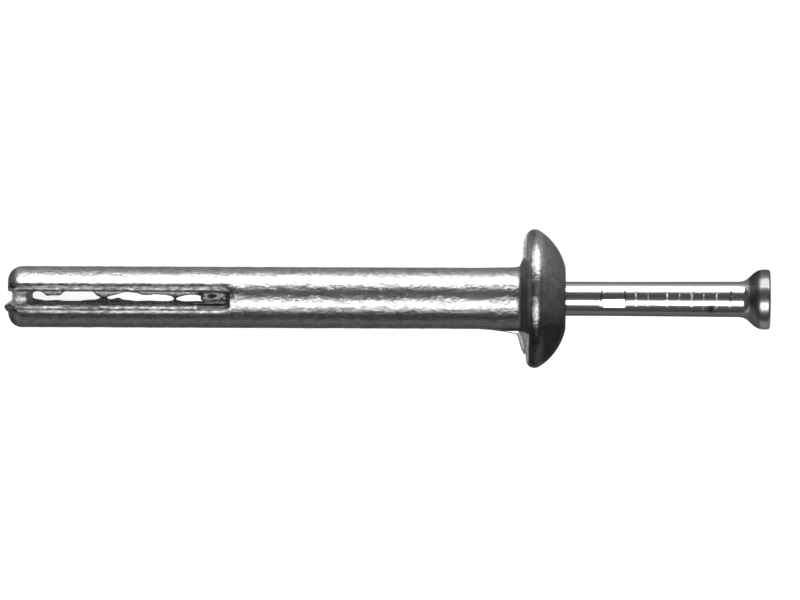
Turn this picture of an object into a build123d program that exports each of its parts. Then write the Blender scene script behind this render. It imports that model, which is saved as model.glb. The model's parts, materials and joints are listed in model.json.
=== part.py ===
from build123d import *
import os
from math import asin, atan2, degrees, hypot, radians, sqrt, tan

# A hammer drive anchor, lying as it rests on a flat surface. Lengths are in millimetres.
# Both pieces are drawn along X first: the head bears on the wall in the plane X = 0, the
# split tip points along -X, the nail stands out along +X, and the slots face +Z and -Z.

# Shank of the body
shank_diameter = 6.0
shank_length = 50.55
tip_corner_radius = 1.4

# Mushroom head of the body
head_diameter = 13.6
head_height = 3.85
head_rim_radius = 0.85
head_dome_radius = 5.9
head_face_diameter = 6.1

# Neck, bevel and cone that blend the shank into the underside of the head
neck_diameter = 6.15
neck_length = 3.8
flare_diameter = 8.9
flare_length = 0.7
flare_root_bevel = 0.3

# Slots, one from each half of the die, with round lips, drafted walls and a sloped inner end;
# the lower one leaves only a narrow gap into the pilot between the legs
slot_mouth_width = 2.6
slot_lip_height = 0.45
slot_throat_width = 1.45
slot_floor_width = 1.3
lower_slot_floor_width = 0.6
slot_floor_height = 0.95
slot_end_distance = 28.95
slot_end_slope = 15.0

# Bridge that joins the two legs across the slots, set back from their ends
bridge_recess = 0.4
bridge_length = 2.05
bridge_thickness = 3.8
bridge_outer_slope = 4.0
bridge_inner_slope = 21.0

# Bore for the nail, which tapers to a narrow pilot so that the nail wedges the legs
nail_fit_clearance = 0.025
bore_past_nail = 0.7
bore_taper_length = 4.0
pilot_diameter = 1.9
pilot_end_wall = 2.45
pilot_end_angle = 118.0

# Gate broken off along the neck and burr on one leg, both on the parting line of the die
gate_foot = 0.85
gate_height = 0.55
gate_thickness = 0.9
gate_root_diameter = 10.8
burr_height = 0.4
burr_width = 0.8
burr_thickness = 0.7

# Nail
nail_diameter = 3.35
nail_length = 55.63
nail_projection = 20.03
nail_point_length = 2.6
nail_point_flat = 0.5
nail_head_diameter = 5.9
nail_head_rim = 1.1
nail_head_bevel = 0.2
nail_head_crown = 0.06
nail_flare_length = 1.45
nail_flare_radius = 0.9

# Values worked out from the sizes above
shank_radius = shank_diameter / 2
neck_start = -flare_length - neck_length
head_radius = head_diameter / 2
nail_radius = nail_diameter / 2
bore_radius = nail_radius + nail_fit_clearance
nail_top = head_height + nail_projection
nail_point = nail_top - nail_length
slot_mouth_height = sqrt(shank_radius**2 - (slot_mouth_width / 2) ** 2)


def arc_about(centre, start, end):
    """The arc about a centre from one point to another, the short way round."""
    radius = hypot(start[0] - centre[0], start[1] - centre[1])
    toward = Vector(start[0] + end[0] - 2 * centre[0], start[1] + end[1] - 2 * centre[1]).normalized()
    middle = (centre[0] + radius * toward.X, centre[1] + radius * toward.Y)
    return ThreePointArc(start, middle, end)


def dome_centre():
    """Centre of the dome's arc, which ends on the flat face and touches the rim's round from outside."""
    rim = Vector(head_rim_radius, head_radius - head_rim_radius)
    corner = Vector(head_height, head_face_diameter / 2)
    across = corner - rim
    gap = across.length
    to_rim = head_dome_radius - head_rim_radius
    along = (to_rim**2 - head_dome_radius**2 + gap**2) / (2 * gap)
    aside = sqrt(to_rim**2 - along**2)
    unit = across.normalized()
    return rim + unit * along + Vector(unit.Y, -unit.X) * aside


def body_outline():
    """Head and shank in one turned form, before anything is cut."""
    corner = tip_corner_radius
    rim = Vector(head_rim_radius, head_radius - head_rim_radius)
    dome = dome_centre()
    touch = rim + (rim - dome).normalized() * head_rim_radius
    tip = (-shank_length, shank_radius - corner)
    tip_top = (corner - shank_length, shank_radius)
    flare_start = (-flare_length, neck_diameter / 2)
    flare_end = (0, flare_diameter / 2)
    rim_start = (0, rim.Y)
    face_edge = (head_height, head_face_diameter / 2)
    profile = Curve() + [
        Line((-shank_length, 0), tip),
        arc_about((corner - shank_length, shank_radius - corner), tip, tip_top),
        Polyline(tip_top, (neck_start, shank_radius), flare_start, flare_end, rim_start),
        arc_about((rim.X, rim.Y), rim_start, (touch.X, touch.Y)),
        arc_about((dome.X, dome.Y), (touch.X, touch.Y), face_edge),
        Polyline(face_edge, (head_height, 0), (-shank_length, 0)),
    ]
    sketch = make_face(profile)
    root = sketch.vertices().sort_by_distance(flare_start)[0]
    return revolve(chamfer(root, flare_root_bevel), Axis.X)


def nail_bore():
    """Straight bore from the face, a taper where the slots begin, and the pilot between the legs."""
    taper_start = nail_point + nail_point_length - bore_past_nail
    taper_end = taper_start - bore_taper_length
    pilot_radius = pilot_diameter / 2
    pilot_bottom = pilot_end_wall - shank_length
    pilot_corner = pilot_bottom + pilot_radius / tan(radians(pilot_end_angle / 2))
    profile = Polyline(
        (head_height, 0),
        (head_height, bore_radius),
        (taper_start, bore_radius),
        (taper_end, pilot_radius),
        (pilot_corner, pilot_radius),
        (pilot_bottom, 0),
        close=True,
    )
    return revolve(make_face(profile), Axis.X)


def slot_side():
    """One slot seen from the side: end notch, bridge, and the long slot with its sloped inner end."""
    top = shank_radius + 1
    beyond = -shank_length - 1
    bridge_top = bridge_thickness / 2
    bridge_near = bridge_recess - shank_length
    bridge_far = bridge_near + bridge_length
    outer_run = bridge_top * tan(radians(bridge_outer_slope))
    inner_run = bridge_top * tan(radians(bridge_inner_slope))
    end_lean = tan(radians(slot_end_slope))
    end_floor = -slot_end_distance - (shank_radius - slot_floor_height) * end_lean
    return Polyline(
        (beyond, 0),
        (bridge_near, 0),
        (bridge_near + outer_run, bridge_top),
        (bridge_far - inner_run, bridge_top),
        (bridge_far, 0),
        (end_floor, 0),
        (end_floor, slot_floor_height),
        (-slot_end_distance + (top - shank_radius) * end_lean, top),
        (beyond, top),
        close=True,
    )


def slot_section(floor_width):
    """One slot seen from the tip: straight floor, drafted walls and a lip that curves out of each wall."""
    floor = (floor_width / 2, slot_floor_height)
    throat = (slot_throat_width / 2, slot_mouth_height - slot_lip_height)
    mouth = (slot_mouth_width / 2, slot_mouth_height)
    wall = (throat[0] - floor[0], throat[1] - floor[1])
    half = Curve() + [
        Polyline((0, 0), (floor[0], 0), floor, throat),
        TangentArc(throat, mouth, tangent=wall),
        Polyline(mouth, (mouth[0], shank_radius + 1), (0, shank_radius + 1)),
    ]
    return half + mirror(half, Plane.YZ)


def slot_cut(floor_width):
    """One slot, from the middle of the shank out through its upper side."""
    lengthwise = extrude(Plane.XZ * make_face(slot_side()), shank_diameter, both=True)
    crosswise = extrude(Plane.YZ * make_face(slot_section(floor_width)), 2 * shank_length, both=True)
    return lengthwise & crosswise


def gate_stub():
    """What is left of the gate: a thin web along the neck and up the underside of the head."""
    outline = Polyline(
        (neck_start, 0),
        (neck_start, shank_radius),
        (-gate_foot, shank_radius + gate_height),
        (-gate_foot / 2, (flare_diameter + gate_root_diameter) / 4),
        (0, gate_root_diameter / 2),
        (head_rim_radius, gate_root_diameter / 2),
        (head_rim_radius, 0),
        close=True,
    )
    web = extrude(make_face(outline), gate_thickness / 2, both=True)
    return mirror(web, Plane.XZ)


def leg_burr():
    """Small burr at the end of one leg, where the die's halves met."""
    inner = slot_floor_width / 2
    outline = Polyline(
        (burr_height - shank_length, inner),
        (-shank_length, inner),
        (-shank_length - burr_height, inner + burr_width / 2),
        (-shank_length, inner + burr_width),
        (burr_height - shank_length, inner + burr_width),
        close=True,
    )
    web = extrude(make_face(outline), burr_thickness / 2, both=True)
    return mirror(web, Plane.XZ)


def anchor_body():
    """The casting: head, shank, gate and burr, less the bore and both slots."""
    blank = body_outline() + gate_stub() + leg_burr()
    upper_slot = slot_cut(slot_floor_width)
    lower_slot = mirror(slot_cut(lower_slot_floor_width), Plane.XY)
    return blank - nail_bore() - upper_slot - lower_slot


def drive_nail():
    """Nail with a flared flat head and a blunt point, turned about X."""
    rim_top = nail_top - nail_head_crown
    rim_bottom = rim_top - nail_head_rim
    rim_radius = nail_head_diameter / 2
    crown = (rim_top, rim_radius - nail_head_bevel)
    flare_start = (rim_bottom - nail_flare_length, nail_radius)
    profile = Curve() + [
        Polyline(
            (nail_point, 0),
            (nail_point, nail_point_flat / 2),
            (nail_point + nail_point_length, nail_radius),
            flare_start,
            (rim_bottom, rim_radius),
            (rim_top - nail_head_bevel, rim_radius),
            crown,
        ),
        ThreePointArc(crown, (nail_top, 0), (crown[0], -crown[1])).trim(0, 0.5),
        Line((nail_top, 0), (nail_point, 0)),
    ]
    sketch = make_face(profile)
    neck = sketch.vertices().sort_by_distance(flare_start)[0]
    return revolve(fillet(neck, nail_flare_radius), Axis.X)


def lying_angle():
    """Tilt at which the head's rim and the edges of the lower slot at the tip both touch a flat surface."""
    rim = (head_rim_radius, head_radius - head_rim_radius)
    tip = (tip_corner_radius - shank_length, slot_mouth_height - tip_corner_radius)
    length = rim[0] - tip[0]
    drop = rim[1] - tip[1]
    return degrees(atan2(drop, length) + asin((head_rim_radius - tip_corner_radius) / hypot(length, drop)))


def lay_down(pieces):
    """Tilt the pieces about Y and set them on Z = 0, with the middle of their length over the origin."""
    tilted = [Rot(0, -lying_angle(), 0) * piece for piece in pieces]
    boxes = [piece.bounding_box() for piece in tilted]
    middle = (min(box.min.X for box in boxes) + max(box.max.X for box in boxes)) / 2
    home = Pos(-middle, 0, -min(box.min.Z for box in boxes))
    return [home * piece for piece in tilted]


names = ["anchor_body", "drive_nail"]
parts = lay_down([anchor_body(), drive_nail()])

os.makedirs("parts", exist_ok=True)
for name, part in zip(names, parts):
    export_step(part, f"parts/{name}.step")
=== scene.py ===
import json
import math

import bmesh
import bpy
import numpy as np
from mathutils import Matrix, Vector


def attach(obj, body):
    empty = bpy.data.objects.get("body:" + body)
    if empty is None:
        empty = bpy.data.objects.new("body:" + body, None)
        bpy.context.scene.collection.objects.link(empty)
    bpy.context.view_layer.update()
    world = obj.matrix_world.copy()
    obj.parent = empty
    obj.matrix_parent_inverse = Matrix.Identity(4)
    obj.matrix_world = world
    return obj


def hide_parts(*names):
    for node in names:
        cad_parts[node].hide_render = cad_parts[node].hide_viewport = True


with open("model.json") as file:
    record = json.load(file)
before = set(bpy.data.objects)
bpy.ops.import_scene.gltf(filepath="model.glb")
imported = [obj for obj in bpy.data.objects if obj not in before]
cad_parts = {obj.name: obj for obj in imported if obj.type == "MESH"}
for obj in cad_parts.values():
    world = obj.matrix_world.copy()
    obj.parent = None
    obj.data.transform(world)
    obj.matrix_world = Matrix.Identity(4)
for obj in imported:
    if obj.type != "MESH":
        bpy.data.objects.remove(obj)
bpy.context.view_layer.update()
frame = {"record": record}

MM = 0.001


def axes_at(place, x_axis, y_axis, z_axis, scale=1.0):
    """The matrix that starts X, Y and Z at a place and lays them along three directions."""
    rows = [(x_axis[i] * scale, y_axis[i] * scale, z_axis[i] * scale, place[i]) for i in range(3)]
    return Matrix((*rows, (0, 0, 0, 1)))


# The anchor's own axes, read from the record. Both pieces are drawn in millimetres along X, as the solids
# are: the head bears at X = 0, the split tip points along -X, and the slots face +Z and -Z.
MOUNTS = {mount["name"]: mount for mount in frame["record"]["mounts"]}
TOWARDS_NAIL = -Vector(MOUNTS["shank"]["axis"]).normalized()
SIDEWAYS = Vector((0, 1, 0))
THROUGH_SLOTS = TOWARDS_NAIL.cross(SIDEWAYS)
SHANK_MIDDLE = Vector(MOUNTS["shank"]["pos_m"])
SEAT_POINT = Vector(MOUNTS["head_seat"]["pos_m"])
BEARING_CENTRE = SHANK_MIDDLE + TOWARDS_NAIL * (SEAT_POINT - SHANK_MIDDLE).dot(TOWARDS_NAIL)
LYING = axes_at(BEARING_CENTRE, TOWARDS_NAIL, SIDEWAYS, THROUGH_SLOTS, scale=MM)


# Meshes

def placed(name, data):
    """A new object in the scene that shows a mesh, a lamp or a camera."""
    made = bpy.data.objects.new(name, data)
    bpy.context.collection.objects.link(made)
    return made


def mesh_object(name, points, faces):
    """An object with a new mesh."""
    mesh = bpy.data.meshes.new(name)
    mesh.from_pydata(points, [], faces)
    mesh.validate()
    mesh.update()
    return placed(name, mesh)


def closed_form(name, points, faces):
    """An object with a closed mesh whose faces all point outwards."""
    piece = mesh_object(name, points, faces)
    work = bmesh.new()
    work.from_mesh(piece.data)
    bmesh.ops.remove_doubles(work, verts=work.verts, dist=1e-7)
    bmesh.ops.recalc_face_normals(work, faces=work.faces)
    work.to_mesh(piece.data)
    work.free()
    piece.data.update()
    return piece


def arc(centre, radius, start, end, steps):
    """Points of an arc, angles in degrees from +X towards the outside."""
    angles = np.radians(np.linspace(start, end, steps))
    return [(centre[0] + radius * math.cos(a), centre[1] + radius * math.sin(a)) for a in angles]


def turned(name, profile, segments):
    """A closed form turned about X from a profile that runs from the axis back to the axis."""
    ring = [(math.cos(a), math.sin(a)) for a in np.linspace(0, 2 * math.pi, segments, endpoint=False)]
    points, rings = [], []
    for x, r in profile:
        if r == 0:
            rings.append([len(points)])
            points.append((x, 0, 0))
        else:
            rings.append(list(range(len(points), len(points) + segments)))
            points += [(x, r * c, r * s) for c, s in ring]
    faces = []
    for a, b in zip(rings, rings[1:]):
        for i in range(segments):
            j = (i + 1) % segments
            corners = [a[i % len(a)], a[j % len(a)], b[j % len(b)], b[i % len(b)]]
            face = list(dict.fromkeys(corners))
            if len(face) > 2:
                faces.append(face)
    return closed_form(name, points, faces)


def lofted(name, rings):
    """A closed form through rings of equally many points, with a flat face at each end."""
    count = len(rings[0])
    points = [point for ring in rings for point in ring]
    faces = [list(range(count)), list(range(len(points) - 1, len(points) - count - 1, -1))]
    for near in range(0, len(points) - count, count):
        far = near + count
        for i in range(count):
            j = (i + 1) % count
            faces.append([near + i, near + j, far + j, far + i])
    return closed_form(name, points, faces)


def prism(name, outline, low, high):
    """An outline in XY, pushed along Z."""
    return lofted(name, [[(x, y, z) for x, y in outline] for z in (low, high)])


def baked(piece):
    """The piece with its modifiers made into a plain mesh."""
    graph = bpy.context.evaluated_depsgraph_get()
    mesh = bpy.data.meshes.new_from_object(piece.evaluated_get(graph), depsgraph=graph)
    old = piece.data
    piece.modifiers.clear()
    piece.data = mesh
    bpy.data.meshes.remove(old)
    return piece


def less(piece, others):
    """Cuts other forms from the piece, one after another."""
    for other in others:
        cut = piece.modifiers.new("cut", "BOOLEAN")
        cut.operation = "DIFFERENCE"
        cut.solver = "EXACT"
        cut.object = other
        baked(piece)
        bpy.data.objects.remove(other)


def gathered(piece, others):
    """Puts the other forms' faces into the piece's mesh, where they still overlap."""
    work = bmesh.new()
    work.from_mesh(piece.data)
    for other in others:
        work.from_mesh(other.data)
        bpy.data.objects.remove(other)
    work.to_mesh(piece.data)
    work.free()
    piece.data.update()


def laid_down(piece):
    """Shades a finished piece smooth and puts it where the anchor lies, in metres."""
    piece.data.shade_smooth()
    piece.data.transform(LYING)
    piece.data.update()
    return piece


# Node trees

def grey(level):
    """A grey as a colour."""
    return (level, level, level, 1)


def node(tree, kind, **values):
    """A new node with its settings."""
    made = tree.nodes.new(kind)
    for name, value in values.items():
        setattr(made, name, value)
    return made


def feed(tree, source, target):
    """Puts a number, a vector or another node's output into a socket."""
    if isinstance(source, bpy.types.NodeSocket):
        tree.links.new(source, target)
    else:
        target.default_value = source


def maths(tree, operation, *sources):
    """The result of one sum with numbers or other nodes' outputs."""
    made = node(tree, "ShaderNodeMath", operation=operation)
    for source, socket in zip(sources, made.inputs):
        feed(tree, source, socket)
    return made.outputs[0]


def vector(tree, *parts):
    """A vector from three numbers or other nodes' outputs."""
    made = node(tree, "ShaderNodeCombineXYZ")
    for part, socket in zip(parts, made.inputs):
        feed(tree, part, socket)
    return made.outputs[0]


def vector_maths(tree, operation, *sources):
    """The node of one sum with vectors; the caller takes its vector or its value."""
    made = node(tree, "ShaderNodeVectorMath", operation=operation)
    for source, socket in zip(sources, made.inputs):
        feed(tree, source, socket)
    return made


def chained(tree, operation, sources):
    """One sum after another over all the sources."""
    made, *others = sources
    for other in others:
        made = maths(tree, operation, made, other)
    return made


def product(tree, *factors):
    """All the factors multiplied."""
    return chained(tree, "MULTIPLY", factors)


def mixed(tree, share, first, second):
    """The first value where the share is 0, the second where it is 1."""
    made = node(tree, "ShaderNodeMix", data_type="FLOAT")
    for source, socket in zip((share, first, second), (made.inputs[0], made.inputs[2], made.inputs[3])):
        feed(tree, source, socket)
    return made.outputs[0]


def stepped(tree, source, start, end):
    """0 before the start and 1 past the end, with a smooth step between."""
    made = node(tree, "ShaderNodeMapRange", interpolation_type="SMOOTHSTEP")
    tree.links.new(source, made.inputs["Value"])
    made.inputs["From Min"].default_value = min(start, end)
    made.inputs["From Max"].default_value = max(start, end)
    made.inputs["To Min"].default_value = 0.0 if start < end else 1.0
    made.inputs["To Max"].default_value = 1.0 if start < end else 0.0
    return made.outputs["Result"]


def bell(tree, off):
    """1 where the source is 0, falling on both sides as a bell does."""
    return maths(tree, "EXPONENT", product(tree, off, off, -1.0))


def coordinates(tree, place):
    """X, Y and Z of a place, and its distances from the planes through the axis and from the axis."""
    split = node(tree, "ShaderNodeSeparateXYZ")
    tree.links.new(place, split.inputs[0])
    x, y, z = split.outputs
    far_y, far_z = maths(tree, "ABSOLUTE", y), maths(tree, "ABSOLUTE", z)
    radius = maths(tree, "SQRT", maths(tree, "ADD", product(tree, y, y), product(tree, z, z)))
    return {"x": x, "y": y, "z": z, "far y": far_y, "far z": far_z, "radius": radius}


def zones(tree, along, table):
    """The zones of a table, as outputs that are 1 inside a zone and 0 outside it.

    A zone is the product of smooth steps, each along one coordinate from where it is 0 to where it is 1,
    and of any earlier zone that it names.
    """
    found = {}
    for name, parts in table.items():
        found[name] = product(tree, *(
            found[part] if isinstance(part, str) else stepped(tree, along[part[0]], part[1], part[2])
            for part in parts
        ))
    return found


# Materials

METAL_EDGE_GREY = 0.4


def metal(name):
    """A material of bare metal that mirrors a grey at a glance, with its tree and its shader."""
    material = bpy.data.materials.new(name)
    material.use_nodes = True
    tree = material.node_tree
    shader = tree.nodes["Principled BSDF"]
    shader.inputs["Metallic"].default_value = 1.0
    shader.inputs["Specular Tint"].default_value = grey(METAL_EDGE_GREY)
    return material, tree, shader


def own_axes(tree):
    """Places in the anchor's own axes, in millimetres."""
    turned_back = node(tree, "ShaderNodeMapping", vector_type="TEXTURE")
    turned_back.inputs["Location"].default_value = LYING.to_translation()
    turned_back.inputs["Rotation"].default_value = LYING.to_euler()
    turned_back.inputs["Scale"].default_value = LYING.to_scale()
    tree.links.new(node(tree, "ShaderNodeTexCoord").outputs["Object"], turned_back.inputs["Vector"])
    return turned_back.outputs[0]


def noise(tree, place, size, detail, roughness, along_scale=1.0):
    """Noise whose features are about the given size in millimetres; a low scale draws it out along X."""
    drawn_out = node(tree, "ShaderNodeMapping")
    drawn_out.inputs["Scale"].default_value = (along_scale, 1.0, 1.0)
    tree.links.new(place, drawn_out.inputs["Vector"])
    made = node(tree, "ShaderNodeTexNoise")
    made.inputs["Scale"].default_value = 1 / size
    made.inputs["Detail"].default_value = detail
    made.inputs["Roughness"].default_value = roughness
    tree.links.new(drawn_out.outputs[0], made.inputs["Vector"])
    return made.outputs["Fac"]


def ramp(tree, source, stops):
    """Greys that change with the source, from stops of position and grey."""
    made = node(tree, "ShaderNodeValToRGB")
    elements = made.color_ramp.elements
    elements[0].position, elements[1].position = stops[0][0], stops[-1][0]
    for position, _ in stops[1:-1]:
        elements.new(position)
    for element, (_, level) in zip(elements, stops):
        element.color = grey(level)
    tree.links.new(source, made.inputs[0])
    return made.outputs[0]


def bumped(tree, shader, height, distance, strength):
    """Gives the shader a bump."""
    made = node(tree, "ShaderNodeBump")
    made.inputs["Distance"].default_value = distance
    feed(tree, strength, made.inputs["Strength"])
    tree.links.new(height, made.inputs["Height"])
    tree.links.new(made.outputs[0], shader.inputs["Normal"])


def tinted(tree, level, zone, tints):
    """The grey, multiplied by each zone's tint inside that zone."""
    return product(tree, level, *(mixed(tree, zone[name], 1.0, tint) for name, tint in tints.items()))


def strongest(tree, zone, weights):
    """The largest of the zones, each times its weight."""
    return chained(tree, "MAXIMUM", [product(tree, zone[name], weight) for name, weight in weights.items()])


# Zinc of the casting

# Zones where the casting differs from its clean skin; several of them only place painted shade or painted
# highlight
ZINC_ZONES = {
    "tip": [("x", -49.6, -50.0)],
    "head": [("x", -0.3, 0.3)],
    "dome": [("x", 1.3, 1.9)],
    # Painted shade: the casting's lower side and its bottom edge are drawn darker
    "lower half": [("y", 0.5, -2.5)],
    "underneath": [("y", -1.9, -2.6)],
    "gate": [("y", -3.1, -3.3), ("x", 0.3, 0.1)],
    "fin": [("y", 3.7, 4.1), ("x", 0.3, 0.1), ("far z", 0.9, 0.6)],
    "root": [("x", -0.75, -0.55), ("x", 0.95, 0.75)],
    "off the fin": [("y", 4.1, 3.7)],
    "past the seat": [("x", 0.25, 0.4)],
    "front of root": [("x", 0.55, 0.35)],
    "bridge": [("far y", 0.75, 0.6), ("x", -48.2, -48.5), ("x", -50.3, -50.05), ("z", 1.0, 1.3)],
    "slot flash": [("far y", 0.85, 0.7), ("x", -28.8, -29.0), ("z", 0.9, 0.5)],
    "end flash": [("far y", 0.85, 0.7), ("x", -28.6, -28.9), ("x", -32.5, -31.9), ("z", 2.4, 2.1)],
    "bruise": [
        ("y", -0.45, -0.55), ("y", -1.1, -1.0), ("x", -32.4, -32.0), ("x", -28.95, -29.15), ("z", 1.6, 1.8),
    ],
    # Painted shade on the shank beside the slot's inner end
    "end edge": [("x", -29.05, -28.95), ("x", -28.4, -28.6), ("y", -0.1, 0.1), ("y", 1.3, 1.1)],
    "lips": [("far y", 1.55, 1.4), ("x", -28.7, -29.1), ("z", 1.6, 1.9)],
    "lips at tip": ["lips", ("x", -47.5, -49.2)],
    # Along the slots' lips: painted shade on both lips, on a stretch of one and on a line along it, and
    # painted highlight lines on both
    "upper lip": ["lips", ("y", 0.9, 1.02)],
    "lower lip": ["lips", ("y", -0.7, -0.8), ("y", -1.03, -0.91)],
    "worn lip": ["lower lip", ("x", -45.0, -44.8), ("x", -41.4, -41.7)],
    "upper line": ["lips", ("y", 0.55, 0.88), ("y", 0.98, 0.92)],
    "lower line": ["lips", ("y", -0.8, -0.9), ("y", -1.06, -0.98)],
    "lip groove": ["lips", ("y", -1.0, -1.07), ("y", -1.24, -1.17)],
}

# Greys of the casting by value of the noise, how far a zone is torn, painted dark as shade or dull, what
# tints multiply the greys by in each zone, painted shade or painted highlight on the clean greys, and
# roughnesses
CLEAN_GREYS = [(0.3, 0.14), (0.52, 0.2), (0.75, 0.26)]
TORN_GREYS = [(0.35, 0.35), (0.65, 0.85)]
LIP_SPARKLE = [(0.38, 0.5), (0.62, 1.5)]
TORN_ZONES = {"fin": 1.0, "gate": 1.0, "flash": 1.0, "bridge": 1.0, "bruise": 0.9}
# Painted shade: the tip, the head's dome, the shadow under the head at its root and the lips near the tip
# are drawn darker
PAINTED_SHADE_ZONES = {"tip": 1.0, "dome": 0.88, "root": 0.85, "lips at tip": 0.9}
DULL_ZONES = {"dome": 1.0, "dull root": 1.0, "lips": 0.6}
PAINTED_SHADE_TINT = 0.45
# Painted shade: how dark the casting's lower side is drawn on the shank and on the head
LOWER_SHANK_SHADE, LOWER_HEAD_SHADE = 0.6, 0.37
TORN_TINTS = {"bridge": 0.45, "gate": 0.5, "flash": 0.6, "end flash": 0.35, "bruise": 0.07}
# Tints of the clean greys: below 1 they are painted shade, above 1 painted highlight lines along the lips
CLEAN_TINTS = {
    "underneath": 0.7, "lower lip": 0.45, "upper lip": 0.45, "worn lip": 0.4, "end edge": 0.4,
    "upper line": 2.4, "lower line": 2.2, "lip groove": 0.65,
}
ZINC_ROUGHNESS = {"clean": 0.27, "dull": 0.5, "torn": 0.55}
ZINC_GRAIN = {"shank": 0.8, "dome": 0.1, "lips": 1.0}
ZINC_GRAIN_DEPTH = 0.06 * MM


def cast_zinc():
    """Mottled grey skin with painted shade below, on the tip, on the head's dome and root and along the
    slots' lips, painted highlight lines on the lips, and pale torn metal where flash was.
    """
    material, tree, shader = metal("cast_zinc")
    place = own_axes(tree)
    zone = zones(tree, coordinates(tree, place), ZINC_ZONES)
    zone["flash"] = maths(tree, "MAXIMUM", zone["slot flash"], zone["end flash"])
    # The root under the head, away from the fin, is drawn darker as a painted shadow
    off_fin = maths(tree, "MAXIMUM", zone["off the fin"], zone["past the seat"])
    zone["root"] = product(tree, zone["root"], off_fin)
    zone["dull root"] = product(tree, zone["root"], zone["front of root"])
    is_torn = strongest(tree, zone, TORN_ZONES)

    torn = ramp(tree, noise(tree, place, size=0.3, detail=3.0, roughness=0.6), TORN_GREYS)
    torn = tinted(tree, torn, zone, TORN_TINTS)
    clean = ramp(tree, noise(tree, place, size=0.6, detail=4.0, roughness=0.62), CLEAN_GREYS)
    # Painted shade: the lower side is drawn darker, more so on the head
    lower_shade = mixed(tree, zone["head"], LOWER_SHANK_SHADE, LOWER_HEAD_SHADE)
    shade = mixed(tree, zone["lower half"], 1.0, lower_shade)
    specks = noise(tree, place, size=0.28, detail=2.0, roughness=0.6, along_scale=0.5)
    sparkle = mixed(tree, zone["lips"], 1.0, ramp(tree, specks, LIP_SPARKLE))
    painted_shade = mixed(tree, strongest(tree, zone, PAINTED_SHADE_ZONES), 1.0, PAINTED_SHADE_TINT)
    clean = tinted(tree, product(tree, clean, painted_shade, shade, sparkle), zone, CLEAN_TINTS)
    tree.links.new(mixed(tree, is_torn, clean, torn), shader.inputs["Base Color"])

    dull = strongest(tree, zone, DULL_ZONES)
    unbroken = mixed(tree, dull, ZINC_ROUGHNESS["clean"], ZINC_ROUGHNESS["dull"])
    tree.links.new(mixed(tree, is_torn, unbroken, ZINC_ROUGHNESS["torn"]), shader.inputs["Roughness"])

    grain = noise(tree, place, size=0.3, detail=4.0, roughness=0.65)
    off_lips = mixed(tree, zone["dome"], ZINC_GRAIN["shank"], ZINC_GRAIN["dome"])
    bumped(tree, shader, grain, ZINC_GRAIN_DEPTH, mixed(tree, zone["lips"], off_lips, ZINC_GRAIN["lips"]))
    return material


# Plated steel of the nail

# Zones where the nail differs from its shaft; below and along its top edge it only carries painted shade
STEEL_ZONES = {
    "point": [("x", -29.0, -29.3)],
    "flare": [("x", 21.5, 21.9)],
    "rim": [("x", 22.65, 22.95)],
    "underneath": [("y", -0.95, -1.28)],
    "upper edge": [("y", 1.4, 1.54)],
}

# Greys and roughnesses of the nail; the greys below, on the flare and on the rim are darker than the shaft's
# as painted shade
STEEL_GREY = {"shaft": 0.32, "underneath": 0.1, "flare": 0.075, "rim": 0.17, "rubbed": 0.65}
# Painted shade along the nail's top edge
TOP_EDGE_SHADE = 0.55
# The darkest that painted shade along a mark makes the grey
DARKEST_GROOVE_SHADE = 0.2
STEEL_ROUGHNESS = {"shaft": 0.19, "flare": 0.35, "rim": 0.28, "rubbed": 0.5}
STREAK_DEPTH = 0.01 * MM
STREAK_STRENGTH = 0.5


def plated_steel():
    """Bright plating with fine streaks along the nail, rubbed pale by the jaws' marks, with painted shade
    along some marks, below, along the top edge and on the flare and rim.
    """
    material, tree, shader = metal("plated_steel")
    place = own_axes(tree)
    zone = zones(tree, coordinates(tree, place), STEEL_ZONES)
    scuff = node(tree, "ShaderNodeAttribute", attribute_name="scuff").outputs["Fac"]
    rubbed = chained(tree, "MAXIMUM", (scuff, 0.0, zone["point"]))
    rubbed = maths(tree, "MINIMUM", rubbed, 1.0)
    # Marks below 0 darken the grey as painted shade along them
    groove_shade = maths(tree, "ADD", 1.0, maths(tree, "MINIMUM", scuff, 0.0))
    groove_shade = maths(tree, "MAXIMUM", groove_shade, DARKEST_GROOVE_SHADE)

    # Painted shade: the nail is drawn darker below, on the flare, on the rim and along its top edge
    shaft = mixed(tree, zone["underneath"], STEEL_GREY["shaft"], STEEL_GREY["underneath"])
    head = mixed(tree, zone["rim"], STEEL_GREY["flare"], STEEL_GREY["rim"])
    plain = tinted(tree, mixed(tree, zone["flare"], shaft, head), zone, {"upper edge": TOP_EDGE_SHADE})
    marked = product(tree, mixed(tree, rubbed, plain, STEEL_GREY["rubbed"]), groove_shade)
    tree.links.new(marked, shader.inputs["Base Color"])

    head = mixed(tree, zone["rim"], STEEL_ROUGHNESS["flare"], STEEL_ROUGHNESS["rim"])
    plain = mixed(tree, zone["flare"], STEEL_ROUGHNESS["shaft"], head)
    tree.links.new(mixed(tree, rubbed, plain, STEEL_ROUGHNESS["rubbed"]), shader.inputs["Roughness"])

    streaks = noise(tree, place, size=0.4, detail=3.0, roughness=0.5, along_scale=0.2)
    bumped(tree, shader, streaks, STREAK_DEPTH, STREAK_STRENGTH)
    return material


# Geometry Nodes trees

def new_geometry_tree(name, inputs):
    """A tree with a geometry going in and out and named numbers as its other inputs."""
    tree = bpy.data.node_groups.new(name, "GeometryNodeTree")
    tree.interface.new_socket("Geometry", in_out="INPUT", socket_type="NodeSocketGeometry")
    for label in inputs:
        tree.interface.new_socket(label, in_out="INPUT", socket_type="NodeSocketFloat")
    tree.interface.new_socket("Geometry", in_out="OUTPUT", socket_type="NodeSocketGeometry")
    return tree, node(tree, "NodeGroupInput").outputs, node(tree, "NodeGroupOutput").inputs


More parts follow.
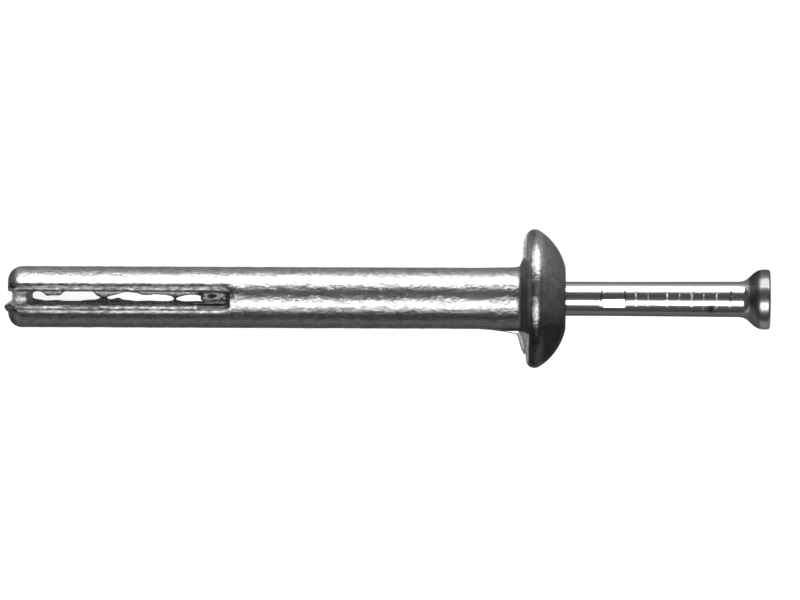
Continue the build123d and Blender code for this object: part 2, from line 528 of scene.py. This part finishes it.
def pushed(tree, geometry, distance):
    """The geometry with its surface moved along its normals."""
    push = vector_maths(tree, "SCALE", node(tree, "GeometryNodeInputNormal").outputs[0])
    tree.links.new(distance, push.inputs["Scale"])
    moved = node(tree, "GeometryNodeSetPosition")
    tree.links.new(geometry, moved.inputs["Geometry"])
    tree.links.new(push.outputs[0], moved.inputs["Offset"])
    return moved.outputs[0]


def end_tree(tree, geometry, target, material):
    """Ends a tree with real copies of any instances and the piece's material."""
    real = node(tree, "GeometryNodeRealizeInstances")
    tree.links.new(geometry, real.inputs[0])
    dressed = node(tree, "GeometryNodeSetMaterial")
    tree.links.new(real.outputs[0], dressed.inputs["Geometry"])
    dressed.inputs["Material"].default_value = material
    tree.links.new(dressed.outputs[0], target)


def run_tree(piece, tree, values):
    """Runs a tree on the piece with its inputs set, and keeps the result as a plain mesh."""
    modifier = piece.modifiers.new(tree.name, "NODES")
    modifier.node_group = tree
    for item in tree.interface.items_tree:
        if item.in_out == "INPUT" and item.name in values:
            modifier[item.identifier] = values[item.name]
    baked(piece)


# Cast body

# Head and shank
SHANK_R = MOUNTS["shank"]["dims"]["r_mm"]
TIP_X = -50.55
TIP_CORNER = 1.4
HEAD_R = 6.8
HEAD_HEIGHT = 3.85
RIM_R = 0.85
DOME_R = 5.9
FACE_R = 3.05
NECK_START = -4.5
NECK_R = 3.075
CONE_START = -0.62
CONE_R = 4.45
CONE_BEVEL = 0.12

# Slots: half widths, heights above the middle plane, and an inner end that leans and is rounded in plan
UPPER_FLOOR = 0.65
LOWER_FLOOR = 0.5
FLOOR_HEIGHT = 0.95
THROAT = 0.62
LIP_R = 0.56
SLOT_END = -28.95
SLOT_END_LEAN = math.tan(math.radians(15))
SLOT_END_ROUND = 0.4
SLOT_END_NARROWING = 0.4
SLOT_END_TURNS = (0, 30, 55, 75, 90)

# How far the cutting forms reach past what they cut; where the lips' arcs pass the shank's own surface is
# set by an angle in degrees
PAST_MIDDLE = 0.02
PAST_SHANK = 1.1
PAST_ENDS = 1.0
LIP_OVERRUN = 11

# Bridge between the legs, with a rounded crown that stands on each of its two faces
BRIDGE_TIP_SIDE, BRIDGE_SLOT_SIDE = -50.15, -48.1
BRIDGE_HEIGHT = 1.9
BRIDGE_TIP_SLOPE, BRIDGE_SLOT_SLOPE = 4, 21
BRIDGE_HALF_WIDTH = 1.05
CROWN_ROOT = 0.35
CROWN_CENTRE = 0.98
CROWN_PROFILE = [
    (-50.12, 0), (-50.1, 0.62), (-49.98, 0.82), (-49.7, 0.93), (-49.1, 0.96), (-48.7, 0.86), (-48.45, 0.6),
    (-48.4, 0),
]

# Bore and pilot
BORE_R = 1.7
TAPER_START, TAPER_END = -29.85, -33.85
PILOT_R = 0.95
PILOT_CORNER, PILOT_END = -47.53, -48.1

# Stub of the gate, fin opposite it, and burr on one leg: outlines in XY and half thicknesses
GATE_OUTLINE = [
    (-4.5, 0), (-4.5, -3.0), (-3.4, -3.08), (-2.3, -3.22), (-1.5, -3.36), (-0.85, -3.55), (-0.66, -4.2),
    (-0.45, -4.9), (-0.25, -5.34), (0.0, -5.4), (0.85, -5.4), (0.85, 0),
]
GATE_HALF = 0.45
FIN_OUTLINE = [
    (-0.63, 2.6), (-0.63, 3.17), (-0.42, 3.7), (-0.3, 4.2), (-0.28, 5.0), (-0.25, 5.7), (-0.15, 6.15),
    (0.02, 6.45), (0.3, 6.5), (0.3, 2.6),
]
FIN_HALF = 0.4
BURR_OUTLINE = [
    (-50.1, -0.55), (-50.6, -0.62), (-50.86, -0.8), (-50.94, -1.0), (-50.86, -1.22), (-50.6, -1.42),
    (-50.1, -1.5),
]
BURR_HALF = 0.35

# Flash that half closes the slots along the parting plane: its torn edges from the tip inwards, the
# distance to which it is rooted in the walls, its top, its thickness and how steeply the upper one rises
UPPER_TEAR = [
    (-48.3, 0.3), (-48.06, 0.42), (-47.7, 0.55), (-47.25, 0.52), (-47.0, 0.15), (-46.74, 0.0),
    (-46.5, 0.16), (-46.1, 0.08), (-45.4, 0.06), (-45.2, 0.42), (-45.0, 0.57), (-43.5, 0.62),
    (-42.25, 0.5), (-42.0, 0.13), (-41.6, -0.04), (-41.4, -0.25), (-41.1, -0.25), (-40.9, -0.02),
    (-40.25, 0.14), (-39.6, 0.34), (-38.9, 0.51), (-38.5, 0.4), (-37.9, 0.34), (-37.4, 0.12),
    (-37.15, 0.32), (-36.9, 0.12), (-36.65, 0.14), (-36.5, 0.42), (-36.3, 0.28), (-35.86, 0.19),
    (-35.17, 0.2), (-34.75, 0.09), (-34.5, 0.0), (-34.33, -0.26), (-34.15, -0.22), (-34.0, -0.03),
    (-33.5, 0.1), (-33.0, 0.21), (-31.96, 0.18), (-31.64, 0.0), (-31.5, -0.2),
]
LOWER_TEAR = [
    (-48.3, 0.0), (-48.06, -0.22), (-47.4, -0.3), (-46.9, -0.4), (-45.6, -0.33), (-45.3, -0.42),
    (-43.5, -0.43), (-43.1, -0.33), (-42.2, -0.28), (-41.5, -0.28), (-41.2, -0.12), (-40.9, -0.28),
    (-40.25, -0.22), (-39.8, -0.02), (-39.45, -0.28), (-38.7, -0.33), (-38.1, -0.42), (-36.9, -0.36),
    (-35.8, -0.42), (-34.55, -0.4), (-34.3, -0.22), (-34.05, -0.34), (-33.5, -0.42), (-32.2, -0.4),
    (-31.5, -0.44),
]
TEAR_ROOT = 0.9
FLASH_TOP = -0.6
FLASH_THICKNESS = 0.4
UPPER_FLASH_RISE = 0.18

# Flash over the nail's point at the slot's inner end: outline, bottom, top and how steeply the top rises
END_FLASH = {
    "upper end flash": ([
        (-31.94, 0.8), (-31.94, 0.56), (-31.79, 0.53), (-31.6, 0.47), (-31.51, 0.31), (-31.41, 0.16),
        (-31.16, 0.17), (-31.04, 0.3), (-30.79, 0.36), (-30.57, 0.44), (-30.45, 0.34), (-30.17, 0.27),
        (-30.12, 0.02), (-29.4, 0.1), (-29.0, 0.14), (-29.0, 0.8),
    ], 1.55, 1.82, 0),
    "middle end flash": ([
        (-31.72, 0.09), (-31.54, 0.06), (-31.1, 0.07), (-30.63, 0.09), (-30.2, 0.12), (-29.9, 0.12),
        (-29.9, 0.03), (-30.32, -0.09), (-31.1, -0.21), (-31.66, -0.2),
    ], 1.5, 1.76, 0),
    "lower end flash": ([
        (-32.64, -0.5), (-32.35, -0.43), (-31.3, -0.4), (-30.7, -0.32), (-29.9, -0.2), (-29.0, -0.14),
        (-29.0, -0.95), (-32.64, -0.95),
    ], 1.45, 1.68, 0.65),
}

# Cast skin: size of its waves and pits, the share of their depth that lies outside the true form, and the
# share of it that the dome keeps; the voxels that even out the body are longer along the shank than across
CAST_SKIN = {"Wave depth": 0.07, "Wave length": 1.1, "Pit depth": 0.04, "Pit length": 0.4, "Seed": 3.0}
PIT_SEED_SHIFT = 7.0
SKIN_OUTSIDE = 0.42
DOME_SKIN = 0.15
VOXEL_SIZE = 0.109
VOXEL_STRETCH = 2.6

# Where the skin is deepest, and where it has neither waves nor pits
SKIN_ZONES = {
    "below dome": [("x", 1.6, 0.4)],
    "bore": [("radius", 1.95, 1.8), ("x", -32.0, -31.5)],
}


def body_profile():
    """Head and shank from the tip to the flat face; the dome's arc touches the rim's arc."""
    rim = (RIM_R, HEAD_R - RIM_R)
    across = (HEAD_HEIGHT - rim[0], FACE_R - rim[1])
    gap = math.hypot(*across)
    to_rim = DOME_R - RIM_R
    along = (to_rim ** 2 - DOME_R ** 2 + gap ** 2) / (2 * gap)
    aside = math.sqrt(to_rim ** 2 - along ** 2)
    unit = (across[0] / gap, across[1] / gap)
    dome = (rim[0] + unit[0] * along + unit[1] * aside, rim[1] + unit[1] * along - unit[0] * aside)
    touch = math.degrees(math.atan2(rim[1] - dome[1], rim[0] - dome[0]))
    edge = math.degrees(math.atan2(FACE_R - dome[1], HEAD_HEIGHT - dome[0]))
    slant = math.hypot(CONE_START, CONE_R - NECK_R)
    bevel_x, bevel_r = -CONE_BEVEL * CONE_START / slant, CONE_BEVEL * (CONE_R - NECK_R) / slant
    return [
        (TIP_X, 0),
        *arc((TIP_X + TIP_CORNER, SHANK_R - TIP_CORNER), TIP_CORNER, 180, 90, steps=16),
        (NECK_START, SHANK_R),
        (CONE_START - CONE_BEVEL, NECK_R),
        (CONE_START + bevel_x, NECK_R + bevel_r),
        (0, CONE_R),
        *arc(rim, RIM_R, 180, touch, steps=18),
        *arc(dome, DOME_R, touch, edge, steps=24)[1:],
        (HEAD_HEIGHT, 0),
    ]


def slot_form(name, side, floor):
    """The empty room of one slot, on the side +1 or -1 of the middle, with its floor's half width."""
    lip_y = THROAT + LIP_R
    lip_z = math.sqrt((SHANK_R - LIP_R) ** 2 - lip_y ** 2)
    lip_end = math.degrees(math.atan2(lip_z, lip_y)) + LIP_OVERRUN
    lip = arc((lip_y, lip_z), LIP_R, 180, lip_end, steps=13)
    outside = (lip[-1][0] + PAST_SHANK, SHANK_R + PAST_SHANK)
    half = [(floor, -PAST_MIDDLE), (floor, FLOOR_HEIGHT), *lip, outside]
    section = half + [(-y, z) for y, z in reversed(half)]
    rings = [[(TIP_X - PAST_ENDS, y, side * z) for y, z in section]]
    for turn in np.radians(SLOT_END_TURNS):
        back = SLOT_END_ROUND * (1 - math.sin(turn))
        narrowed = 1 - SLOT_END_NARROWING * (1 - math.cos(turn))
        ring = []
        for y, z in section:
            lean = (SHANK_R - max(z, FLOOR_HEIGHT)) * SLOT_END_LEAN
            ring.append((SLOT_END - lean - back, y * narrowed, side * z))
        rings.append(ring)
    return lofted(name, rings)


def bore():
    """The empty room of the bore, its taper and the pilot."""
    return turned("bore and pilot", [
        (HEAD_HEIGHT + PAST_ENDS, 0), (HEAD_HEIGHT + PAST_ENDS, BORE_R), (TAPER_START, BORE_R),
        (TAPER_END, PILOT_R), (PILOT_CORNER, PILOT_R), (PILOT_END, 0),
    ], segments=96)


def bridge():
    """The bridge up to the roots of its crowns."""
    near_tip = BRIDGE_TIP_SIDE + BRIDGE_HEIGHT * math.tan(math.radians(BRIDGE_TIP_SLOPE))
    near_slot = BRIDGE_SLOT_SIDE - BRIDGE_HEIGHT * math.tan(math.radians(BRIDGE_SLOT_SLOPE))
    top = BRIDGE_HEIGHT - CROWN_ROOT
    outline = [
        (BRIDGE_TIP_SIDE, 0), (near_tip, top), (near_slot, top), (BRIDGE_SLOT_SIDE, 0), (near_slot, -top),
        (near_tip, -top),
    ]
    widths = (-BRIDGE_HALF_WIDTH, BRIDGE_HALF_WIDTH)
    return lofted("bridge", [[(x, y, z) for x, z in outline] for y in widths])


def bridge_crown(side):
    """Rounded top of the bridge, on the side +1 or -1 of the middle."""
    made = turned("bridge crown", CROWN_PROFILE, segments=40)
    for point in made.data.vertices:
        point.co.z += side * CROWN_CENTRE
    return made


def torn_plate(name, outline, low, high, rise):
    """A thin plate with a torn outline, whose top rises with the distance from the middle."""
    plate = prism(name, outline, low, high)
    for point in plate.data.vertices:
        if point.co.z > (low + high) / 2:
            point.co.z += abs(point.co.y) * rise
    return plate


def slot_flash():
    """The flash left in the slots, torn along the middle and round the nail's point."""
    plates = [torn_plate(name, *plate) for name, plate in END_FLASH.items()]
    for name, tear, root, rise in (
        ("upper flash", UPPER_TEAR, TEAR_ROOT, UPPER_FLASH_RISE), ("lower flash", LOWER_TEAR, -TEAR_ROOT, 0),
    ):
        outline = tear + [(tear[-1][0], root), (tear[0][0], root)]
        plates.append(torn_plate(name, outline, FLASH_TOP - FLASH_THICKNESS, FLASH_TOP, rise))
    return plates


def cast_skin(material):
    """The as-cast skin: slow waves and shallow pits about the true form, none of them in the bore."""
    tree, given, made = new_geometry_tree("cast skin", CAST_SKIN)
    place = node(tree, "GeometryNodeInputPosition").outputs[0]
    zone = zones(tree, coordinates(tree, place), SKIN_ZONES)
    depths = []
    for kind, shift in (("Wave", 0.0), ("Pit", PIT_SEED_SHIFT)):
        swirl = node(tree, "ShaderNodeTexNoise", noise_dimensions="4D")
        tree.links.new(place, swirl.inputs["Vector"])
        feed(tree, maths(tree, "ADD", given["Seed"], shift), swirl.inputs["W"])
        feed(tree, maths(tree, "DIVIDE", 1.0, given[f"{kind} length"]), swirl.inputs["Scale"])
        swirl.inputs["Detail"].default_value = 1.0
        depths.append(product(tree, swirl.outputs["Fac"], given[f"{kind} depth"]))
    outside = product(tree, maths(tree, "ADD", given["Wave depth"], given["Pit depth"]), SKIN_OUTSIDE)
    lift = maths(tree, "SUBTRACT", outside, maths(tree, "ADD", *depths))
    roughened = maths(tree, "MULTIPLY_ADD", zone["below dome"], 1 - DOME_SKIN, DOME_SKIN)
    lift = product(tree, lift, roughened, maths(tree, "SUBTRACT", 1.0, zone["bore"]))
    end_tree(tree, pushed(tree, given["Geometry"], lift), made[0], material)
    return tree


def evened(piece):
    """Joins all that is gathered in the piece into one skin of even facets, drawn out along the shank."""
    piece.data.transform(Matrix.Diagonal((1 / VOXEL_STRETCH, 1, 1, 1)))
    remesh = piece.modifiers.new("even skin", "REMESH")
    remesh.mode = "VOXEL"
    remesh.voxel_size = VOXEL_SIZE
    baked(piece)
    piece.data.transform(Matrix.Diagonal((VOXEL_STRETCH, 1, 1, 1)))


def cast_body():
    """The casting: head and shank less its slots and bore, with the bridge and what the die left on it."""
    body = turned("cast_body", body_profile(), segments=224)
    less(body, [slot_form("upper slot", 1, UPPER_FLOOR), slot_form("lower slot", -1, LOWER_FLOOR), bore()])
    gathered(body, [
        bridge(),
        bridge_crown(1),
        bridge_crown(-1),
        prism("gate", GATE_OUTLINE, -GATE_HALF, GATE_HALF),
        prism("fin", FIN_OUTLINE, -FIN_HALF, FIN_HALF),
        prism("burr", BURR_OUTLINE, -BURR_HALF, BURR_HALF),
        *slot_flash(),
    ])
    evened(body)
    run_tree(body, cast_skin(cast_zinc()), CAST_SKIN)
    return laid_down(body)


# Drive nail

# Nail: a shaft that swells a little towards the head, a flare and a crowned head
NAIL_R = 1.675
NAIL_POINT = -31.75
NAIL_POINT_R = 0.25
NAIL_POINT_LENGTH = 2.6
NAIL_TOP = 23.88
NAIL_SWELL = 0.065
SWELL_START, SWELL_END = 8.0, 20.6
NAIL_HEAD_PROFILE = [
    (20.9, 1.752), (21.1, 1.785), (21.3, 1.85), (21.5, 1.96), (21.7, 2.115), (21.9, 2.3), (22.1, 2.49),
    (22.3, 2.65), (22.5, 2.775), (22.7, 2.865), (22.9, 2.915), (23.1, 2.94), (23.3, 2.95), (23.5, 2.945),
    (23.65, 2.915), (23.75, 2.86), (NAIL_TOP - 0.06, 2.75), (NAIL_TOP - 0.03, 2.0), (NAIL_TOP - 0.005, 1.0),
    (NAIL_TOP, 0),
]

# Rings along the shaft, closest where the grip marks are: first place, end and spacing
SHAFT_RINGS = [
    (NAIL_POINT + NAIL_POINT_LENGTH, 3.0, 2.0), (3.4, 7.0, 0.1), (7.0, SWELL_END, 0.055),
    (SWELL_END, 20.8, 0.1),
]

# Marks of the heading machine's jaws, which lean from Z towards -Y: a flat with soft ends, cross lines
# (middle, bow, width, share of the line depth, rubbing) and nicks (middle, angle from Z in degrees, width
# along the nail and across it, depth, rubbing). Rubbing above 0 is a pale rubbed mark; below 0 it is painted
# shade along the mark.
GRIP_LEAN = math.radians(-14)
FLAT_START, FLAT_END = 7.45, 9.6
FLAT_START_BLUR, FLAT_END_BLUR = 0.12, 0.1
GRIP_SIZES = {"Nail radius": NAIL_R, "Flat depth": 0.05, "Line depth": 0.04}
GRIP_LINES = [
    (7.25, 0.75, 0.08, 1.0, -0.8), (9.66, -0.35, 0.08, 1.0, -0.8), (10.69, -0.1, 0.06, 0.75, 0.35),
    (11.9, 0.0, 0.05, 0.5, 0.25), (13.73, 0.0, 0.05, 0.75, 0.45), (14.94, 0.05, 0.05, 0.5, 0.3),
    (16.12, -0.12, 0.06, 0.75, 0.5), (17.28, 0.1, 0.05, 0.5, 0.25), (18.59, 0.0, 0.06, 0.75, 0.45),
    (19.85, 0.7, 0.08, 1.0, -0.7),
]
GRIP_NICKS = [
    (17.2, -27, 0.1, 0.14, 0.03, 0.4), (18.0, -32, 0.24, 0.24, 0.06, -1.0),
    (18.45, -27, 0.1, 0.16, 0.02, 0.5), (13.75, 18, 0.08, 0.24, 0.05, 0.8),
    (17.3, 17, 0.07, 0.24, 0.03, 0.5), (18.55, 14, 0.08, 0.3, 0.04, 0.7),
    (10.7, 18, 0.08, 0.22, 0.04, 0.6), (16.2, 14, 0.07, 0.3, 0.04, 0.7),
    (14.95, 17, 0.08, 0.16, 0.03, 0.5), (11.9, 11, 0.06, 0.22, 0.03, 0.5),
    (20.0, 16, 0.1, 0.14, 0.04, 0.4), (5.1, 62, 0.16, 0.16, 0.03, 0.0),
]

# How far the flat runs along the nail and the cross lines reach round it
MARK_ZONES = {
    "flat": [
        ("x", FLAT_START - FLAT_START_BLUR, FLAT_START + FLAT_START_BLUR),
        ("x", FLAT_END + FLAT_END_BLUR, FLAT_END - FLAT_END_BLUR),
    ],
    "lines": [("y", -0.85, -0.4), ("y", 1.0, 0.7)],
}


def nail_profile():
    """The nail from point to head."""
    places = [x for first, end, spacing in SHAFT_RINGS for x in np.arange(first, end, spacing)]
    shaft = [(x, NAIL_R + NAIL_SWELL * np.interp(x, (SWELL_START, SWELL_END), (0, 1))) for x in places]
    return [(NAIL_POINT, 0), (NAIL_POINT, NAIL_POINT_R), *shaft, *NAIL_HEAD_PROFILE]


def grip_marks(material):
    """Marks of the heading machine's jaws on two sides of the nail: a flat, cross lines and nicks."""
    tree, given, made = new_geometry_tree("grip marks", GRIP_SIZES)
    along = coordinates(tree, node(tree, "GeometryNodeInputPosition").outputs[0])
    zone = zones(tree, along, MARK_ZONES)
    x, y, far_z = along["x"], along["y"], along["far z"]
    radius = given["Nail radius"]
    towards_jaw = product(tree, far_z, math.cos(GRIP_LEAN)), product(tree, y, math.sin(GRIP_LEAN))
    facing = maths(tree, "DIVIDE", maths(tree, "ADD", *towards_jaw), radius)

    flat_height = maths(tree, "SUBTRACT", radius, given["Flat depth"])
    above_flat = maths(tree, "SUBTRACT", product(tree, facing, radius), flat_height)
    depth = product(tree, maths(tree, "MAXIMUM", above_flat, 0.0), zone["flat"])

    # Marks rubbed pale count above 0; marks that carry painted shade count below 0
    scuff = 0.0
    for middle, bow, width, share, rubbing in GRIP_LINES:
        bent = product(tree, maths(tree, "SUBTRACT", 1.0, facing), bow)
        off = maths(tree, "SUBTRACT", maths(tree, "SUBTRACT", x, middle), bent)
        line = product(tree, bell(tree, maths(tree, "DIVIDE", off, width)), zone["lines"])
        depth = maths(tree, "MULTIPLY_ADD", product(tree, line, given["Line depth"]), share, depth)
        scuff = maths(tree, "MULTIPLY_ADD", line, rubbing, scuff)

    folded = vector(tree, x, y, far_z)
    for middle, angle, width, length, nick_depth, rubbing in GRIP_NICKS:
        turn = math.radians(angle)
        across = product(tree, radius, math.sin(turn)), product(tree, radius, math.cos(turn))
        centre = vector(tree, middle, *across)
        off = vector_maths(tree, "SUBTRACT", folded, centre).outputs["Vector"]
        off = vector_maths(tree, "DIVIDE", off, (width, length, length)).outputs["Vector"]
        nick = bell(tree, vector_maths(tree, "LENGTH", off).outputs["Value"])
        depth = maths(tree, "MULTIPLY_ADD", nick, nick_depth, depth)
        scuff = maths(tree, "MULTIPLY_ADD", nick, rubbing, scuff)

    marked = node(tree, "GeometryNodeStoreNamedAttribute")
    marked.inputs["Name"].default_value = "scuff"
    tree.links.new(pushed(tree, given["Geometry"], product(tree, depth, -1.0)), marked.inputs["Geometry"])
    tree.links.new(scuff, marked.inputs["Value"])
    end_tree(tree, marked.outputs[0], made[0], material)
    return tree


def drive_nail():
    """The nail with its grip marks."""
    nail = turned("plated_nail", nail_profile(), segments=144)
    run_tree(nail, grip_marks(plated_steel()), GRIP_SIZES)
    return laid_down(nail)


# The two pieces

body = cast_body()
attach(body, "root")
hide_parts("anchor_body")

nail = drive_nail()
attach(nail, "root")
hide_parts("drive_nail")


# Floor, lamps and camera

# Picture: the camera rolls about the anchor and turns in its own plane; lengths here are in metres
CAMERA_ROLL = math.radians(3)
PICTURE_TURN = math.radians(0.23)
CAMERA_DISTANCE = 1.2
PICTURE_WIDTH = 0.07808
PICTURE_MIDDLE_X = -12.3 * MM
PICTURE_DROP = 0.185 * MM
SENSOR_WIDTH = 36
FLOOR_REACH = 3
FLOOR_GLOW = 0.9
STUDIO_GREY = 0.15

TOWARDS_CAMERA = THROUGH_SLOTS * math.cos(CAMERA_ROLL) + SIDEWAYS * math.sin(CAMERA_ROLL)
PICTURE_UP = SIDEWAYS * math.cos(CAMERA_ROLL) - THROUGH_SLOTS * math.sin(CAMERA_ROLL)


def floor():
    """A pale floor that glows for the camera and in the metal's reflections."""
    corners = [(x * FLOOR_REACH, y * FLOOR_REACH, 0) for x, y in ((-1, -1), (1, -1), (1, 1), (-1, 1))]
    piece = mesh_object("floor", corners, [(0, 1, 2, 3)])
    material = bpy.data.materials.new("pale_floor")
    material.use_nodes = True
    tree = material.node_tree
    shader = tree.nodes["Principled BSDF"]
    shader.inputs["Base Color"].default_value = grey(STUDIO_GREY)
    shader.inputs["Roughness"].default_value = 1.0
    shader.inputs["Specular IOR Level"].default_value = 0.0
    shader.inputs["Emission Color"].default_value = grey(1)
    path = node(tree, "ShaderNodeLightPath")
    rays = [path.outputs[f"Is {kind} Ray"] for kind in ("Camera", "Glossy", "Transmission")]
    seen = chained(tree, "MAXIMUM", rays)
    tree.links.new(product(tree, seen, FLOOR_GLOW), shader.inputs["Emission Strength"])
    piece.data.materials.append(material)


def soft_lamp(name, from_x, to_x, angle, distance, height, glow):
    """A long soft box beside the anchor, turned from the camera towards the picture's top by an angle."""
    turn = math.radians(angle)
    heading = TOWARDS_CAMERA * math.cos(turn) + PICTURE_UP * math.sin(turn)
    lamp = bpy.data.lights.new(name, "AREA")
    lamp.shape = "RECTANGLE"
    lamp.size, lamp.size_y = to_x - from_x, height
    lamp.energy = glow * math.pi * lamp.size * lamp.size_y
    box = placed(name, lamp)
    box.visible_camera = False
    place = BEARING_CENTRE + TOWARDS_NAIL * ((from_x + to_x) / 2) + heading * distance
    box.matrix_world = axes_at(place, TOWARDS_NAIL, heading.cross(TOWARDS_NAIL), heading)


def camera():
    """The camera above the anchor, whose lens fits the picture's width at the anchor's distance."""
    view = bpy.data.cameras.new("camera")
    view.sensor_width = SENSOR_WIDTH
    view.lens = SENSOR_WIDTH * CAMERA_DISTANCE / PICTURE_WIDTH
    right = TOWARDS_NAIL * math.cos(PICTURE_TURN) + PICTURE_UP * math.sin(PICTURE_TURN)
    up = PICTURE_UP * math.cos(PICTURE_TURN) - TOWARDS_NAIL * math.sin(PICTURE_TURN)
    above = BEARING_CENTRE + TOWARDS_NAIL * PICTURE_MIDDLE_X + TOWARDS_CAMERA * CAMERA_DISTANCE
    piece = placed("camera", view)
    piece.matrix_world = axes_at(above - up * PICTURE_DROP, right, up, TOWARDS_CAMERA)
    bpy.context.scene.camera = piece


def studio():
    """The even grey that surrounds the table."""
    world = bpy.data.worlds.new("studio")
    world.use_nodes = True
    world.node_tree.nodes["Background"].inputs[0].default_value = grey(STUDIO_GREY)
    bpy.context.scene.world = world
    bpy.context.scene.view_settings.view_transform = "Standard"


floor()
soft_lamp("upper soft box", from_x=-0.22, to_x=0.33, angle=70.5, distance=0.35, height=0.26, glow=9.5)
soft_lamp("lower soft box", from_x=-0.19, to_x=0.23, angle=-26.3, distance=0.35, height=0.16, glow=10.5)
camera()
studio()
